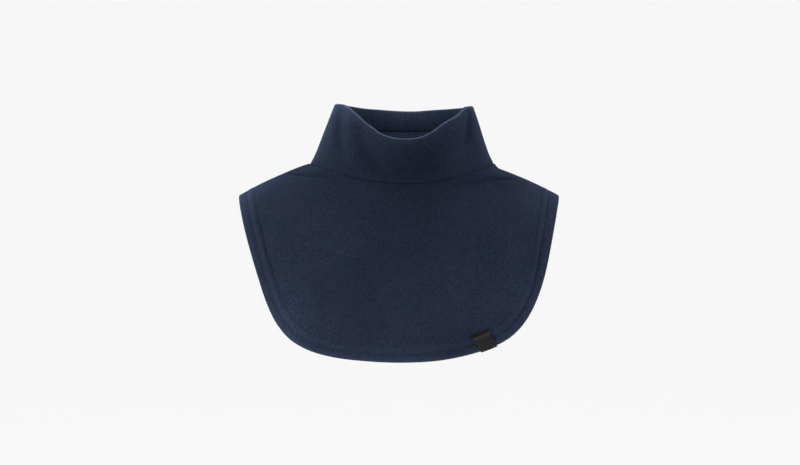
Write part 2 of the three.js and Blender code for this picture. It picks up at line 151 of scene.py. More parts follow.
collar = {
    "thickness": 2.0,
    "lipCentre": (2.2, -2), "lipHalfWidth": 72.2, "lipHalfDepth": 55,
    "lipRadius": 2.2,
    "facingDepth": 4.4,
    "crease": (21.5, 1.1, 1.1),  # of the facing: distance from the lip, half width, depth
    "lipHeights": [  # angle from the front towards +X, height
        (-180, 54.1), (-150, 56.7), (-120, 61.8), (-90, 64.9), (-62, 65.4), (-48, 60.3),
        (-34, 48.5), (-26, 42.9), (-20, 37.8), (-8, 33.1), (3, 32.4), (13, 33.8), (22, 38.3),
        (29, 43.4), (36, 48.6), (51, 56.1), (62, 61.8), (78, 63.5), (90, 62.4), (131, 58.1),
        (153, 55.5), (180, 54.1),
    ],
    "swell": (2, 5),  # behind and in front
    "spread": (2.6, 3.4),  # at the left and the right
    "folds": [  # lip angle, seam angle, width, height, from, to
        (-64, -39, 6, -1.6, 0.2, 1.0), (-49, -31, 5, 1.0, 0.1, 1.1),
        (-43, -12, 9, -1.8, 0.3, 1.0), (-34, -12, 13, -0.6, 0.0, 0.6), (-34, 2, 7, 0.9, 0.1, 0.9),
        (48, 40, 9, 1.0, 0.2, 1.1), (68, 31, 6, -1.6, 0.35, 1.1),
        (152, 140, 10, -1.8, 0.1, 1.0), (172, 165, 10, 1.2, 0.0, 1.1),
        (-160, -148, 10, -1.6, 0.1, 1.0),
    ],
    "waves": [(34, 0.4), (12, 0.1)], "calm": 22,
    "columns": 320, "wallRows": 44, "foldSteps": 10,
    "facingRows": [  # distances from the lip, close together in the crease
        3.5, 5, 7, 9, 11, 13, 15, 17, 19, 20, 20.7, 21.1, 21.5, 21.9, 22.3, 22.9, 23.9, 25.3, 27, 29,
    ],
}


def fromFront(turn):  # in degrees, between -180 and 180
    return (np.degrees(turn) + 180) % 360 - 180


def lipHeight(angle):  # smooth between the rows, closed after a full turn
    rows = np.array(collar["lipHeights"])
    angles = np.concatenate([[rows[-2, 0] - 360], rows[:, 0], [rows[1, 0] + 360]])
    heights = np.concatenate([[rows[-2, 1]], rows[:, 1], [rows[1, 1]]])
    i = np.clip(np.searchsorted(angles, angle, side="right") - 1, 1, len(rows) - 1)
    span = angles[i + 1] - angles[i]
    slopeStart = (heights[i + 1] - heights[i - 1]) / (angles[i + 1] - angles[i - 1]) * span
    slopeEnd = (heights[i + 2] - heights[i]) / (angles[i + 2] - angles[i]) * span
    return hermite((angle - angles[i]) / span, heights[i], slopeStart, heights[i + 1], slopeEnd)


def lipPoint(turn):
    x, y = collar["lipCentre"]
    return stack(x + collar["lipHalfWidth"] * np.sin(turn),
                 y - collar["lipHalfDepth"] * np.cos(turn), lipHeight(fromFront(turn)))


def collarHeight(turn):
    return np.linalg.norm(lipPoint(turn) - neckPoint(turn), axis=-1)


def collarPoint(turn, share):  # share 0 is the neck seam and share 1 the lip
    place = mix(neckPoint(turn), lipPoint(turn), share[..., None])
    swell = either(collar["swell"], np.cos(turn) > 0) * np.cos(turn) ** 2
    spread = either(collar["spread"], np.sin(turn) > 0)
    bulge = (swell * np.sin(np.pi * share) + foldHeight(collar["folds"], fromFront(turn), share)
             - spread * np.sin(turn) ** 2 * 4 * share * (1 - share) ** 3)
    return place + neckOutward(turn) * bulge[..., None]


def collarNormal(turn, share):
    step = 1e-3
    along = collarPoint(turn + step, share) - collarPoint(turn - step, share)
    rise = collarPoint(turn, share + step) - collarPoint(turn, share - step)
    return unit(np.cross(along, rise))


def facingPaintedLight(turn, distance):  # painted light on the inside of the collar, lightest at its back
    middle, reach = paintedLight["facingMiddle"]
    across = collar["lipHalfWidth"] * np.sin(turn) - middle
    back = np.where(np.cos(turn) < 0, bell(across, reach), 0)
    return np.interp(distance, *zip(*paintedLight["facing"])) * mix(paintedLight["facingSides"], 1, back)


def aboutSeam(turn, depth, rise):  # a place inside the collar, just over the neck seam
    share = rise / collarHeight(turn)
    return collarPoint(turn, share) - collarNormal(turn, share) * np.reshape(depth, (-1, 1))


# Painted light and shade: how much lighter or darker the colour is painted

paintedLight = {
    "patches": [  # x, z, half width, half height, painted lift of the colour, lighter or darker
        (-3, -3, 32, 10, -0.13), (108, -12, 48, 10, -0.27), (23, 17, 30, 33, -0.37),
        (-39, 5, 36, 20, -0.25), (-157, -15, 25, 13, 0.90), (144, -28, 25, 26, 0.44),
        (-121, -160, 23, 36, 0.41), (-163, -29, 13, 22, 0.90), (119, -132, 13, 48, 0.13),
        (-40, -133, 40, 43, -0.14), (10, -44, 55, 57, -0.22), (59, -210, 28, 40, -0.46),
        (109, 39, 45, 30, -0.54), (-57, 60, 13, 14, 0.62),
    ],
    "patchFade": 30,  # from the front towards the back
    # painted highlight on the lip's fold and in a band below it, with the band's fade in millimetres
    "lipEdge": 2.9, "lipBand": 0.55, "lipFade": 6,
    "lipTurns": (0.4, 2.2, 1.6),  # angles over the lip: full, faded out, and the facing's start
    "foldPaintedLight": 0.12,  # painted light for each millimetre that a fold stands out, painted shade where it sinks
    "facing": [  # distance from the lip, painted light on the inside
        (0, 2.5), (4, 2.3), (9, 1.6), (15, 0.9), (19.5, 0.7), (21.5, 0.2), (23.5, 1.5), (29, 1.6),
    ],
    "facingMiddle": (2, 24), "facingSides": 0.4,
    # painted light along the hem's fold and its band
    "hemEdge": 0.3, "hemEdgeFade": 4, "hemBand": 0.17, "hemBandEnd": (14, 24),
}


def paintedLightAt(places):
    here = smooth(0.5 - places[..., 1] / paintedLight["patchFade"])
    lift = 0
    for x, z, wide, tall, amount in paintedLight["patches"]:
        lift = lift + here * amount * bell(places[..., 0] - x, wide) * bell(places[..., 2] - z, tall)
    return lift


def hemPaintedLight(distance):  # painted light on the hem's fold and its band
    start, end = paintedLight["hemBandEnd"]
    band = 1 - smooth((distance - start) / (end - start))
    return paintedLight["hemEdge"] * bell(distance, paintedLight["hemEdgeFade"]) + paintedLight["hemBand"] * band


# Sheets: a grid of quads moved onto the worked-out places

def asMesh(name, bm):
    mesh = bpy.data.meshes.new(name)
    bm.to_mesh(mesh)
    bm.free()
    return mesh


def addObject(name, data):
    obj = bpy.data.objects.new(name, data)
    bpy.context.scene.collection.objects.link(obj)
    return obj


def byRows(values, count):  # each row's value or values as a full row
    return np.array([np.broadcast_to(row, count) for row in values], float)


def clothSheet(name, places, across, tuckShade, lift, wall, thickness, ring=False):
    rows, columns = places.shape[:2]
    along = lengthsAlong(places[:, columns // 2])[:, None]
    flatUv = np.stack(np.broadcast_arrays(across, along), -1).reshape(-1, 2) / 100
    bm = bmesh.new()
    bmesh.ops.create_grid(bm, x_segments=columns - 1, y_segments=rows - 1, size=1)
    uvLayer = bm.loops.layers.uv.new("cloth")
    # vertex values for the painted seam shade and the painted light and shade
    tuckShadeLayer = bm.verts.layers.float.new("tuckShade")
    napLayer = bm.verts.layers.float.new("paintedLight")
    wallLayer = bm.verts.layers.deform.verify()
    bm.verts.index_update()
    values = zip(places.reshape(-1, 3), tuckShade.ravel(), lift.ravel(), wall.ravel())
    for vert, (place, sunk, lighter, full) in zip(bm.verts, values):
        vert.co = Vector(place) * mm
        vert[tuckShadeLayer] = sunk
        vert[napLayer] = lighter
        vert[wallLayer][0] = full
    for face in bm.faces:
        face.smooth = True
        for loop in face.loops:
            loop[uvLayer].uv = flatUv[loop.vert.index]
    if ring:
        bmesh.ops.remove_doubles(bm, verts=bm.verts, dist=1e-6)
    obj = addObject(name, asMesh(name, bm))
    obj.vertex_groups.new(name="wall")
    body = obj.modifiers.new("wall", "SOLIDIFY")
    body.thickness = thickness * mm
    body.offset = -1
    body.vertex_group = "wall"
    body.thickness_vertex_group = 0.3
    return obj


def makeCollar():
    turns = np.radians(np.linspace(-180, 180, collar["columns"] + 1))
    angles = np.degrees(turns)
    height = collarHeight(turns)
    radius, gap = neckLine["foldRadius"], neckLine["gap"]
    rows = []  # places, tuck and its painted shade, painted light and shade, wall
    for rise in np.linspace(neckLine["allowance"], radius + gap, 5)[:-1]:
        rows.append((aboutSeam(turns, 2 * radius, rise), neckLine["insideShade"], 0, neckLine["squeeze"]))
    for bend in np.linspace(0, np.pi, 9)[:-1]:  # the fold along the seam
        place = aboutSeam(turns, radius * (1 + np.cos(bend)), radius + gap - radius * np.sin(bend))
        rows.append((place, mix(neckLine["foldShade"], 1, np.sin(bend)), 0, neckLine["squeeze"]))
    low = (radius + gap) / height
    high = 1 - collar["lipRadius"] / height
    shade, fade = neckLine["lineShade"]
    for step in np.linspace(0, 1, collar["wallRows"]) ** neckLine["crowding"]:
        share = mix(low, high, step)
        place, normal = collarPoint(turns, share), collarNormal(turns, share)
        rise = share * height
        place = place + normal * (ripple(place, collar["waves"]) * smooth(rise / collar["calm"]))[:, None]
        # painted highlight along the lip, and painted light and shade over the folds
        lift = (paintedLight["lipBand"] * np.exp(-(1 - share) * height / paintedLight["lipFade"])
                + paintedLight["foldPaintedLight"] * foldHeight(collar["folds"], angles, share))
        wall = mix(neckLine["squeeze"], 1, smooth((rise - neckLine["allowance"]) / 6))
        rows.append((place, shade * float(bell(step, fade)), lift, wall))
    lipPlace, lipNormal = collarPoint(turns, high), collarNormal(turns, high)
    lipPlace = lipPlace + lipNormal * ripple(lipPlace, collar["waves"])[:, None]
    rise = unit(collarPoint(turns, high + 1e-3) - collarPoint(turns, high - 1e-3))
    for bend in np.linspace(0, np.pi, collar["foldSteps"] + 1)[1:]:
        out = collar["lipRadius"] * (np.cos(bend) - 1)
        place = lipPlace + lipNormal * out + rise * collar["lipRadius"] * np.sin(bend)
        # painted highlight round the lip's fold, then painted light on the facing
        start, end, facingStart = paintedLight["lipTurns"]
        lift = paintedLight["lipEdge"] * smooth(bend / start) * smooth((end - bend) / 0.6)
        rows.append((place, 0, lift + facingPaintedLight(turns, 0) * smooth((bend - facingStart) / 0.8), 1))
    depthAt, halfWidth, sunk = collar["crease"]
    for distance in collar["facingRows"]:
        share = 1 - distance / height
        place, normal = collarPoint(turns, share), collarNormal(turns, share)
        crease = bell(distance - depthAt, halfWidth)
        depth = collar["facingDepth"] - sunk * crease - ripple(place, collar["waves"])
        # the facing's crease is sunk and painted darker, and the facing gets painted light
        rows.append((place - normal * depth[:, None], crease, facingPaintedLight(turns, distance), 1))
    places = np.array([row[0] for row in rows])
    tuckShade, lift, wall = (byRows([row[k] for row in rows], len(turns)) for k in (1, 2, 3))
    around = np.linspace(0, lengthsAlong(collarPoint(turns, turns * 0 + 0.5))[-1], len(turns))
    # painted light and shade patches go on top of each row's painted light
    return clothSheet("collarCloth", places, around, tuckShade, lift + paintedLightAt(places), wall,
                      collar["thickness"], ring=True)


collarCloth = makeCollar()
print("collar made:", len(collarCloth.data.polygons), "faces")


# Panels: the front and the back bib, cut in one line of hem

panel = {
    "thickness": 2.0,
    "seamGap": 0.005,  # from the shoulder seam's middle to either piece
    "shoulderRadius": 2.1, "shoulderAllowance": 6,
    "hemRadius": 1.2,  # of the same edge where the hem is double
    "hemAllowance": (0.8, 2.8),  # inside the hem and just above it
    "neckRadius": 0.4, "neckAllowance": 1.4,
    "easeHem": 8, "easeNeck": 9, "easeSeam": 25,  # how fast the turned ends change along a panel
    "frontHem": [  # from the left shoulder tip over the front to the right one
        (-171.8, 2, -32.6), (-170, -20, -43.5), (-164.2, -38.3, -67.9), (-151.6, -56.2, -109.4),
        (-140, -65.7, -142.6), (-130.1, -69.9, -160.9), (-116.9, -73.3, -175.6),
        (-98, -76.1, -186.3), (-74.3, -78, -193.1), (-42, -79.1, -197.4), (-0.9, -79.6, -199.3),
        (35.2, -79.1, -197.5), (67.9, -77.6, -191.6), (94.4, -75.4, -183.3),
        (112.6, -72.8, -173.7), (127.5, -69.3, -159.2), (139.3, -64.7, -139.2),
        (149.5, -56.4, -110.5), (157.9, -40.4, -72.7), (163.4, -20, -43.3), (165.4, 2, -32.4),
    ],
    "backShare": {"width": 0.965, "depth": 0.9, "length": 0.93},
    "neckFall": (12, 17.5), "neckFallPower": 0.9,  # at the left and the right shoulder, in degrees
    "hemFall": (26.2, 23.6), "hemFallPower": 0.6,
    "lift": (2.3, 3.7), "liftReach": (25, 3.6),  # of a shoulder's cloth up to the neck seam
    "creaseWidth": 3.4,
    "waves": [(42, 0.6), (14, 0.14)],
    "calm": 26, "calmAtSeam": 9,  # from the neck and the shoulder seams, where the waves start
    "squareAtSeam": 5,  # where the face turns square to a shoulder seam
    "columns": 270, "crowding": 0.55,  # of the columns towards the shoulders
    "wallRows": 56, "pathSteps": 1500, "step": 0.004,
}

hem = {
    "fold": 2.2, "depth": 4.4, "width": 23,
    "wander": 0.5, "wanderLength": 9,  # of the stitch rows, in and out
    "sink": 0.6, "sinkInside": 0.5, "sinkWidth": 1.9,
    "puff": 0.55, "puffPower": 0.8,
    "pucker": 0.16, "puckerLength": 8, "puckerWidth": 3.2,
    "endSink": 0.3, "endFade": 22,  # towards the shoulder seams, where the rows sink less
    "squeeze": 0.4,  # of the cloth's thickness under the stitches
    "shade": 0.7,  # of the stitched rows against the neck seam
    "plainFrom": 26,
    "rows": (22, 9, 34),  # of the sheet inside the hem, round its fold and outside
    "treePoints": 6000, "tableColumns": 161, "tableShares": 200, "tableFrom": 0.35,
}

sides = {
    "front": {
        "facing": -1, "depth": neckLine["depth"][1], "neckFall": 70, "hemFall": 91,
        "turns": (-90, 90), "hem": (0, 0.5),
        "rows": [  # column, outer row and its strength, inner row and its
            (0, 11, 0.6, 20, 0.6), (0.12, 10.8, 0.7, 19.8, 1.1), (0.18, 10.4, 0.6, 19.4, 1.2),
            (0.24, 10, 0.6, 19.2, 1.2), (0.28, 9.8, 0.5, 19, 0.5), (0.36, 9.5, 0.4, 19, 0.45),
            (0.46, 9.5, 0.2, 19, 0.25), (0.56, 9.5, 0.3, 19, 0.35), (0.62, 9.5, 0.9, 19, 0.4),
            (0.67, 9.5, 0.9, 19, 0.7), (0.74, 10.3, 1.4, 19.3, 0.45), (0.79, 10.9, 1.7, 19.6, 0.45),
            (0.835, 12.6, 1.8, 20.4, 0.4), (0.88, 13.2, 1.3, 21, 0.4), (1, 14, 0.8, 21.5, 0.4),
        ],
        "folds": [  # hem column, neck column, width, height, from, to
            (0.5, 0.63, 0.035, -1.8, 0.0, 0.5), (0.9, 0.86, 0.03, -1.4, 0.0, 0.45),
            (0.19, 0.16, 0.05, 1.6, 0.1, 0.8), (0.72, 0.74, 0.05, 1.5, 0.2, 0.9),
        ],
        "creases": [  # column, share, height
            [(0, 0.36, 0), (0.03, 0.28, -0.9), (0.06, 0.205, -1.5), (0.1, 0.133, -1.8),
             (0.15, 0.075, -1.8), (0.2, 0.048, -1.3), (0.27, 0.04, 0)],
            [(0.7, 0.045, 0), (0.76, 0.057, -1.0), (0.82, 0.087, -1.2), (0.88, 0.13, -1.2),
             (0.91, 0.185, -1.6), (0.93, 0.24, -1.4), (0.965, 0.34, 0)],
        ],
    },
    "back": {
        "facing": 1, "depth": neckLine["depth"][0], "neckFall": 62, "hemFall": 88,
        "turns": (90, 270), "hem": (0.5, 1),
        "rows": [
            (0, 14, 0.7, 21.5, 0.6), (0.12, 11, 0.9, 20, 0.7), (0.3, 9.5, 0.8, 19, 0.7),
            (0.5, 9.5, 0.6, 19, 0.6), (0.75, 9.8, 0.8, 19, 0.8), (1, 11, 0.6, 20, 0.6),
        ],
        "folds": [
            (0.3, 0.36, 0.04, -1.8, 0.0, 0.7), (0.73, 0.66, 0.04, -1.8, 0.0, 0.65),
            (0.52, 0.5, 0.05, 1.4, 0.15, 0.9),
        ],
        "creases": [
            [(0, 0.36, 0), (0.05, 0.24, -0.9), (0.1, 0.15, -1.1), (0.18, 0.08, -1.0), (0.26, 0.05, 0)],
            [(0.76, 0.05, 0), (0.84, 0.09, -0.9), (0.9, 0.16, -1.1), (0.94, 0.25, -0.8), (1, 0.38, 0)],
        ],
    },
}


def hemPoints():  # the back repeats the front's line a little smaller
    front = np.array(panel["frontHem"], float)
    back = front[-2:0:-1].copy()
    share = panel["backShare"]
    tips = np.where(back[:, 0] > 0, front[-1, 2], front[0, 2])
    deep = np.clip(-back[:, 1] / neckLine["depth"][1], 0, 1)
    back[:, 2] = tips + (back[:, 2] - tips) * mix(1, share["length"], deep)
    back[:, 0] *= mix(1, share["width"], deep)
    back[:, 1] *= -share["depth"]
    return np.concatenate([front, back])


def hemCurve(share):  # closed centripetal curve through the points
    points = hemPoints()
    count = len(points)
    row = np.floor(share * count).astype(int)
    part = (share * count - row)[:, None]
    before, start, end, after = (points[(row + k) % count] for k in (-1, 0, 1, 2))
    gaps = [np.sqrt(np.linalg.norm(b - a, axis=1, keepdims=True))
            for a, b in ((before, start), (start, end), (end, after))]
    middle = (end - start) / gaps[1]
    slopeStart = (start - before) / gaps[0] - (end - before) / (gaps[0] + gaps[1]) + middle
    slopeEnd = middle - (after - start) / (gaps[1] + gaps[2]) + (after - end) / gaps[2]
    return hermite(part, start, slopeStart * gaps[1], end, slopeEnd * gaps[1])


for side in sides.values():
    turns = np.radians(np.linspace(*side["turns"], panel["pathSteps"]))
    side["neckAt"], side["neckLength"] = evenPath(neckPoint(turns))
    side["hemAt"], side["hemLength"] = evenPath(hemCurve(np.linspace(*side["hem"], panel["pathSteps"])))


def turnAt(side, column):
    start = side["neckAt"](column)
    return np.arctan2(start[..., 0] / neckLine["halfWidth"], -start[..., 1] / side["depth"])


def creaseHeight(side, column, share, reach):  # creases across a panel, just below the collar
    total = 0
    for crease in side["creases"]:
        columns, shares, heights = zip(*crease)
        away = (share - np.interp(column, columns, shares)) * reach
        total = total + np.interp(column, columns, heights) * bell(away, panel["creaseWidth"])
    return total


def panelPoint(side, column, share):  # column 0 to 1 goes round, share 0 is the neck and 1 the hem
    turn = turnAt(side, column)
    middle, rightness = np.abs(np.cos(turn)), (1 + np.sin(turn)) / 2
    lift = either(panel["lift"], rightness > 0.5) * np.abs(np.sin(turn)) ** neckLine["risePower"]
    liftReach = either(panel["liftReach"], rightness > 0.5)
    start, end = side["neckAt"](column) - up * lift[..., None], side["hemAt"](column)
    chord = end - start
    reach = np.linalg.norm(chord, axis=-1, keepdims=True)
    neckFall, hemFall = (
        np.radians(mix(mix(*panel[fall], rightness), side[fall], middle ** panel[fall + "Power"]))
        for fall in ("neckFall", "hemFall"))
    level = unit(chord * [1, 1, 0])
    leave = neckOutward(turn) * np.cos(neckFall)[..., None] - up * np.sin(neckFall)[..., None]
    arrive = level * np.cos(hemFall)[..., None] - up * np.sin(hemFall)[..., None]
    place = hermite(share[..., None], start, leave * reach, end, arrive * reach)
    facing = mix(neckFall, hemFall, share)
    height = (foldHeight(side["folds"], column, share)
              + creaseHeight(side, column, share, reach[..., 0]))
    place = place + up * (lift * bell(share * reach[..., 0], liftReach))[..., None]
    return place + (neckOutward(turn) * np.sin(facing)[..., None]
                    + up * np.cos(facing)[..., None]) * height[..., None]


def panelNormal(side, column, share):
    step = 1e-3
    along = (panelPoint(side, np.minimum(1, column + step), share)
             - panelPoint(side, np.maximum(0, column - step), share))
    down = (panelPoint(side, column, np.minimum(1, share + step))
            - panelPoint(side, column, np.maximum(0, share - step)))
    return unit(np.cross(down, along))


hemTree = KDTree(hem["treePoints"])
for index, place in enumerate(hemCurve(np.linspace(0, 1, hem["treePoints"], endpoint=False))):
    hemTree.insert(Vector(place), index)
hemTree.balance()


def hemTable(side):  # distance to the hem over a panel's lower part
    columns = np.linspace(0, 1, hem["tableColumns"])
    shares = np.linspace(hem["tableFrom"], 1, hem["tableShares"])
    grid = np.meshgrid(columns, shares, indexing="ij")
    places = panelPoint(side, *grid).reshape(-1, 3)
    away = np.array([hemTree.find(Vector(place))[2] for place in places]).reshape(grid[0].shape)
    away[:, -1] = 0
    return columns, shares, away


for side in sides.values():
    side["table"] = hemTable(side)


def shareAt(side, column, distance):  # where a column is this far from the hem
    columns, shares, away = side["table"]
    wanted = np.interp(columns, column, distance) if np.ndim(distance) else np.full(len(columns), distance)
    found = [np.interp(-far, -row, shares) for far, row in zip(wanted, away)]
    return np.interp(column, columns, found)


def stitchRows(side, columns):  # distance from the hem and strength of either row
    at, *values = zip(*side["rows"])
    outer, outerStrength, inner, innerStrength = (np.interp(columns, at, value) for value in values)
    arcs = columns * side["hemLength"] / hem["wanderLength"]
    wander = [[hem["wander"] * noise.noise(Vector((arc, seed, 0))) for arc in arcs] for seed in (0, 7)]
    return (outer + wander[0], outerStrength), (inner + wander[1], innerStrength)


def stitchedIn(side, distance, columns):  # about 1 along the stitch rows, 0 away from them
    return sum(strength * bell(distance - row, hem["sinkWidth"])
               for row, strength in stitchRows(side, columns))


def hemRelief(side, distance, columns):  # the outer face's depth under the plain cloth
    arc = columns * side["hemLength"]
    ends = np.minimum(arc, side["hemLength"] - arc)
    depth = hem["sink"] * stitchedIn(side, distance, columns)
    (outer, _), (inner, _) = stitchRows(side, columns)
    waves = np.array([noise.noise(Vector((a / hem["puckerLength"], 3, 0))) for a in arc])
    for row in (outer, inner):
        depth = depth + hem["pucker"] * waves * bell(distance - row, hem["puckerWidth"])
    channel = np.where(distance < outer, distance / outer, (distance - outer) / (inner - outer))
    depth = depth - hem["puff"] * np.sin(np.pi * np.clip(channel, 0, 1)) ** hem["puffPower"]
    return depth * mix(hem["endSink"], 1, smooth(ends / hem["endFade"]))


def reachOf(side, column):  # straight from the neck seam to the hem
    return np.linalg.norm(side["hemAt"](column) - side["neckAt"](column), axis=-1)


def surface(side, column, share):  # a panel's outer face with its unevenness, and its normal
    place, normal = panelPoint(side, column, share), panelNormal(side, column, share)
    fromSeam = np.minimum(column, 1 - column) * mix(side["neckLength"], side["hemLength"], share)
    calm = smooth(share * reachOf(side, column) / panel["calm"]) * smooth(fromSeam / panel["calmAtSeam"])
    place = place + normal * (ripple(place, panel["waves"]) * calm)[..., None]
    edge = 1 - smooth(fromSeam / panel["squareAtSeam"])
    square = normal * stack(1.0, 1 - edge, 1.0)
    return place, unit(square)


def columnShares():  # closer together near the shoulders
    even = np.linspace(0, 1, panel["columns"] + 1)
    return mix(even, 0.5 - 0.5 * np.cos(np.pi * even), panel["crowding"])


def turnedColumns(side, share, radius, allowance):
    # columns of one row with the ends turned down into the shoulder seams, and their depth there
    span = mix(side["neckLength"], side["hemLength"], share)
    bends = np.radians([90, 90, 90, 66, 44, 22])
    along = radius * (1 - np.sin(bends)) / span
    down = radius * (1 - np.cos(bends)) + allowance * np.array([1, 0.5, 0, 0, 0, 0])
    middle = mix(radius / span, 1 - radius / span, columnShares())
    columns = np.concatenate([along, middle, 1 - along[::-1]])
    return columns, np.concatenate([down, middle * 0, down[::-1]])


def seamShift(side, columns):  # the turned ends stand half the seam's gap back
    turned = np.zeros(len(columns))
    turned[:6] = turned[-6:] = side["facing"] * panel["seamGap"]
    return stack(0.0, turned, 0.0)


def panelRow(side, kind, at):
    sunk, tuckShade, drop, distance = 0.0, 0.0, 0.0, at
    bend = {"inside": 0, "fold": at}.get(kind, math.pi)  # which way the cloth faces
    inHem, overHem = panel["hemAllowance"]
    if kind == "plain":
        awayFromHem, awayFromNeck = smooth((1 - at) * panel["easeHem"]), smooth(at * panel["easeNeck"])
        radius = mix(panel["neckRadius"], mix(panel["hemRadius"], panel["shoulderRadius"], awayFromHem),
                     awayFromNeck)
        allowance = mix(overHem, panel["shoulderAllowance"], awayFromHem * awayFromNeck)
        allowance = mix(panel["neckAllowance"], allowance, smooth(at * panel["easeSeam"]))
        columns, edge = turnedColumns(side, at, radius, allowance)
        share = mix(neckLine["bend"] / reachOf(side, columns), shareAt(side, columns, hem["plainFrom"]), at)
        distance = hem["plainFrom"]
    else:
        single = smooth((at - hem["width"] + 0.5) / 2) if kind == "outside" else 0
        columns, edge = turnedColumns(side, 1, panel["hemRadius"], mix(inHem, overHem, single))
        share = shareAt(side, columns, hem["fold"] if kind == "fold" else at)
    if kind in ("outside", "inside"):
        tuckShade = stitchedIn(side, at, columns)
        sunk = hem["depth"] - hem["sinkInside"] * tuckShade
        if kind == "outside":
            sunk = hemRelief(side, at, columns)
    elif kind == "fold":
        sunk, drop, distance = hem["fold"] * (1 + math.cos(at)), hem["fold"] * math.sin(at), 0
    place, normal = surface(side, columns, share)
    before, _ = surface(side, columns, share - panel["step"])
    sunk, drop = sunk - edge * math.cos(bend), drop - edge * math.sin(bend)
    place = place - normal * sunk[:, None] + unit(place - before) * drop[:, None]
    # painted light on the hem and its band, and painted light and shade over the creases
    lift = hemPaintedLight(distance) + paintedLight["foldPaintedLight"] * creaseHeight(side, columns, share, reachOf(side, columns))
    return place + seamShift(side, columns), columns, hem["shade"] * tuckShade, lift, 1 - hem["squeeze"] * tuckShade


def rowsRoundHem(reachInside, reach, insideRows, bends, outsideRows):
    # each row's kind, with its distance from the hem or its angle round the fold
    runs = [("inside", np.linspace(reachInside, hem["fold"], insideRows)),
            ("fold", np.linspace(0, np.pi, bends + 1)[1:-1]),
            ("outside", np.linspace(hem["fold"], reach, outsideRows))]
    return [(kind, at) for kind, run in runs for at in run]


def makePanel(name, side):
    rows = rowsRoundHem(hem["width"], hem["plainFrom"], *hem["rows"])
    rows += [("plain", share) for share in np.linspace(1, 0, panel["wallRows"])[1:]]
    made = [panelRow(side, *row) for row in rows]
    places, columns, tuckShades, lifts, walls = (list(part) for part in zip(*made))

    # under the collar the cloth turns in, and up behind the collar's own turned edge
    last, before, across = places[-1], places[-2], columns[-1]
    turn, shift = turnAt(side, across), seamShift(side, across)
    _, edge = turnedColumns(side, 0, panel["neckRadius"], panel["neckAllowance"])
    radius, gap = neckLine["foldRadius"] + edge, neckLine["gap"]
    seam = aboutSeam(turn, radius, -gap) + shift
    reach = np.linalg.norm(seam - last, axis=-1, keepdims=True)
    # the rows turning into the seam are painted darker
    for t in (0.25, 0.5, 0.75, 1.0):
        places.append(hermite(t, last, unit(last - before) * reach, seam, -neckOutward(turn) * reach))
        tuckShades.append(t)
    outer, low = neckLine["foldRadius"] + 2 * gap, neckLine["foldRadius"] + gap
    for bend in np.radians([65, 40, 18, 0]):
        rise = low - outer * np.sin(bend)
        places.append(aboutSeam(turn, radius + outer * np.cos(bend), rise) + shift)
        tuckShades.append(neckLine["foldShade"])
    for rise in np.linspace(low, neckLine["allowance"], 4)[1:]:
        places.append(aboutSeam(turn, radius + outer, rise) + shift)
        tuckShades.append(neckLine["insideShade"])
    more = len(places) - len(columns)
    columns += [across] * more
    lifts += [0.0] * more
    walls += [1.0] * more

    places = np.array(places)
    tuckShades, lifts, walls = (byRows(part, places.shape[1]) for part in (tuckShades, lifts, walls))
    arcs = np.array(columns) * side["hemLength"]
    return clothSheet(name, places, arcs, tuckShades, lifts + paintedLightAt(places), walls, panel["thickness"])


frontCloth = makePanel("frontCloth", sides["front"])
backCloth = makePanel("backCloth", sides["back"])
print("panels made:", len(frontCloth.data.polygons), "and", len(backCloth.data.polygons), "faces")


# Stitches of the hem, two rows on either face

stitches = {
    "length": 2.7, "pitch": 3.3, "radius": 0.26,
    "proud": -0.08,  # over the bottom of the sunk row
    "wander": 0.12, "tilt": 0.06, "unevenLength": (0.92, 1.06),
    "steps": 900, "ends": 0.004,  # along a row, and the share left bare at either end
}


def addMesh(name, bm):
    for face in bm.faces:
        face.smooth = True
    return addObject(name, asMesh(name, bm))


def oneStitch():  # a small closed grain of thread, 2 long and 2 thick
    bm = bmesh.new()
    bmesh.ops.create_uvsphere(bm, u_segments=6, v_segments=5, radius=1)
    bmesh.ops.rotate(bm, verts=bm.verts, matrix=Matrix.Rotation(math.pi / 2, 3, "Y"))
    bm.faces.sort(key=lambda face: face.calc_center_median().dot((1, 3.1, 9.7)))  # the same each run
    return asMesh("oneStitch", bm)


grain = oneStitch()


def putStitch(bm, spot, along, out, length, radius):
    across = out.cross(along).normalized()
    turned = Matrix((along, across, along.cross(across))).transposed().to_4x4()
    size = Matrix.Diagonal((length / 2, radius, radius, 1)) * mm
    size[3][3] = 1
    piece = grain.copy()
    piece.transform(Matrix.Translation(spot * mm) @ turned @ size)
    bm.from_mesh(piece)
    bpy.data.meshes.remove(piece)


def sewAlong(bm, line, normals, chance):
    reached = lengthsAlong(line)

    def at(array, distance):
        return Vector([np.interp(distance, reached, array[:, k]) for k in range(3)])

    for centre in np.arange(stitches["pitch"] / 2, reached[-1], stitches["pitch"]):
        spot, out = at(line, centre), at(normals, centre).normalized()
        along = (at(line, centre + 0.5) - at(line, centre - 0.5)).normalized()
        across = out.cross(along).normalized()
        along = (along + across * chance.uniform(-1, 1) * stitches["tilt"]).normalized()
        spot += across * chance.uniform(-1, 1) * stitches["wander"]
        length = stitches["length"] * chance.uniform(*stitches["unevenLength"])
        putStitch(bm, spot, along, out, length, stitches["radius"])


def makeStitches(name, side, seed):
    chance = random.Random(seed)
    bm = bmesh.new()
    columns = np.linspace(stitches["ends"], 1 - stitches["ends"], stitches["steps"])
    for row, _ in stitchRows(side, columns):
        place, normal = surface(side, columns, shareAt(side, columns, row))
        sunk = hemRelief(side, row, columns) - stitches["proud"]
        sewAlong(bm, place - normal * sunk[:, None], normal, chance)
        sunk = hem["depth"] - hem["sinkInside"] * stitchedIn(side, row, columns) + stitches["proud"]
        sewAlong(bm, place - normal * sunk[:, None], -normal, chance)
    return addMesh(name, bm)


frontStitches = makeStitches("frontStitches", sides["front"], 11)
backStitches = makeStitches("backStitches", sides["back"], 12)
print("stitches made:", len(frontStitches.data.polygons) + len(backStitches.data.polygons), "faces")


# Label, a bare woven tape folded round the front hem and tacked down along its top

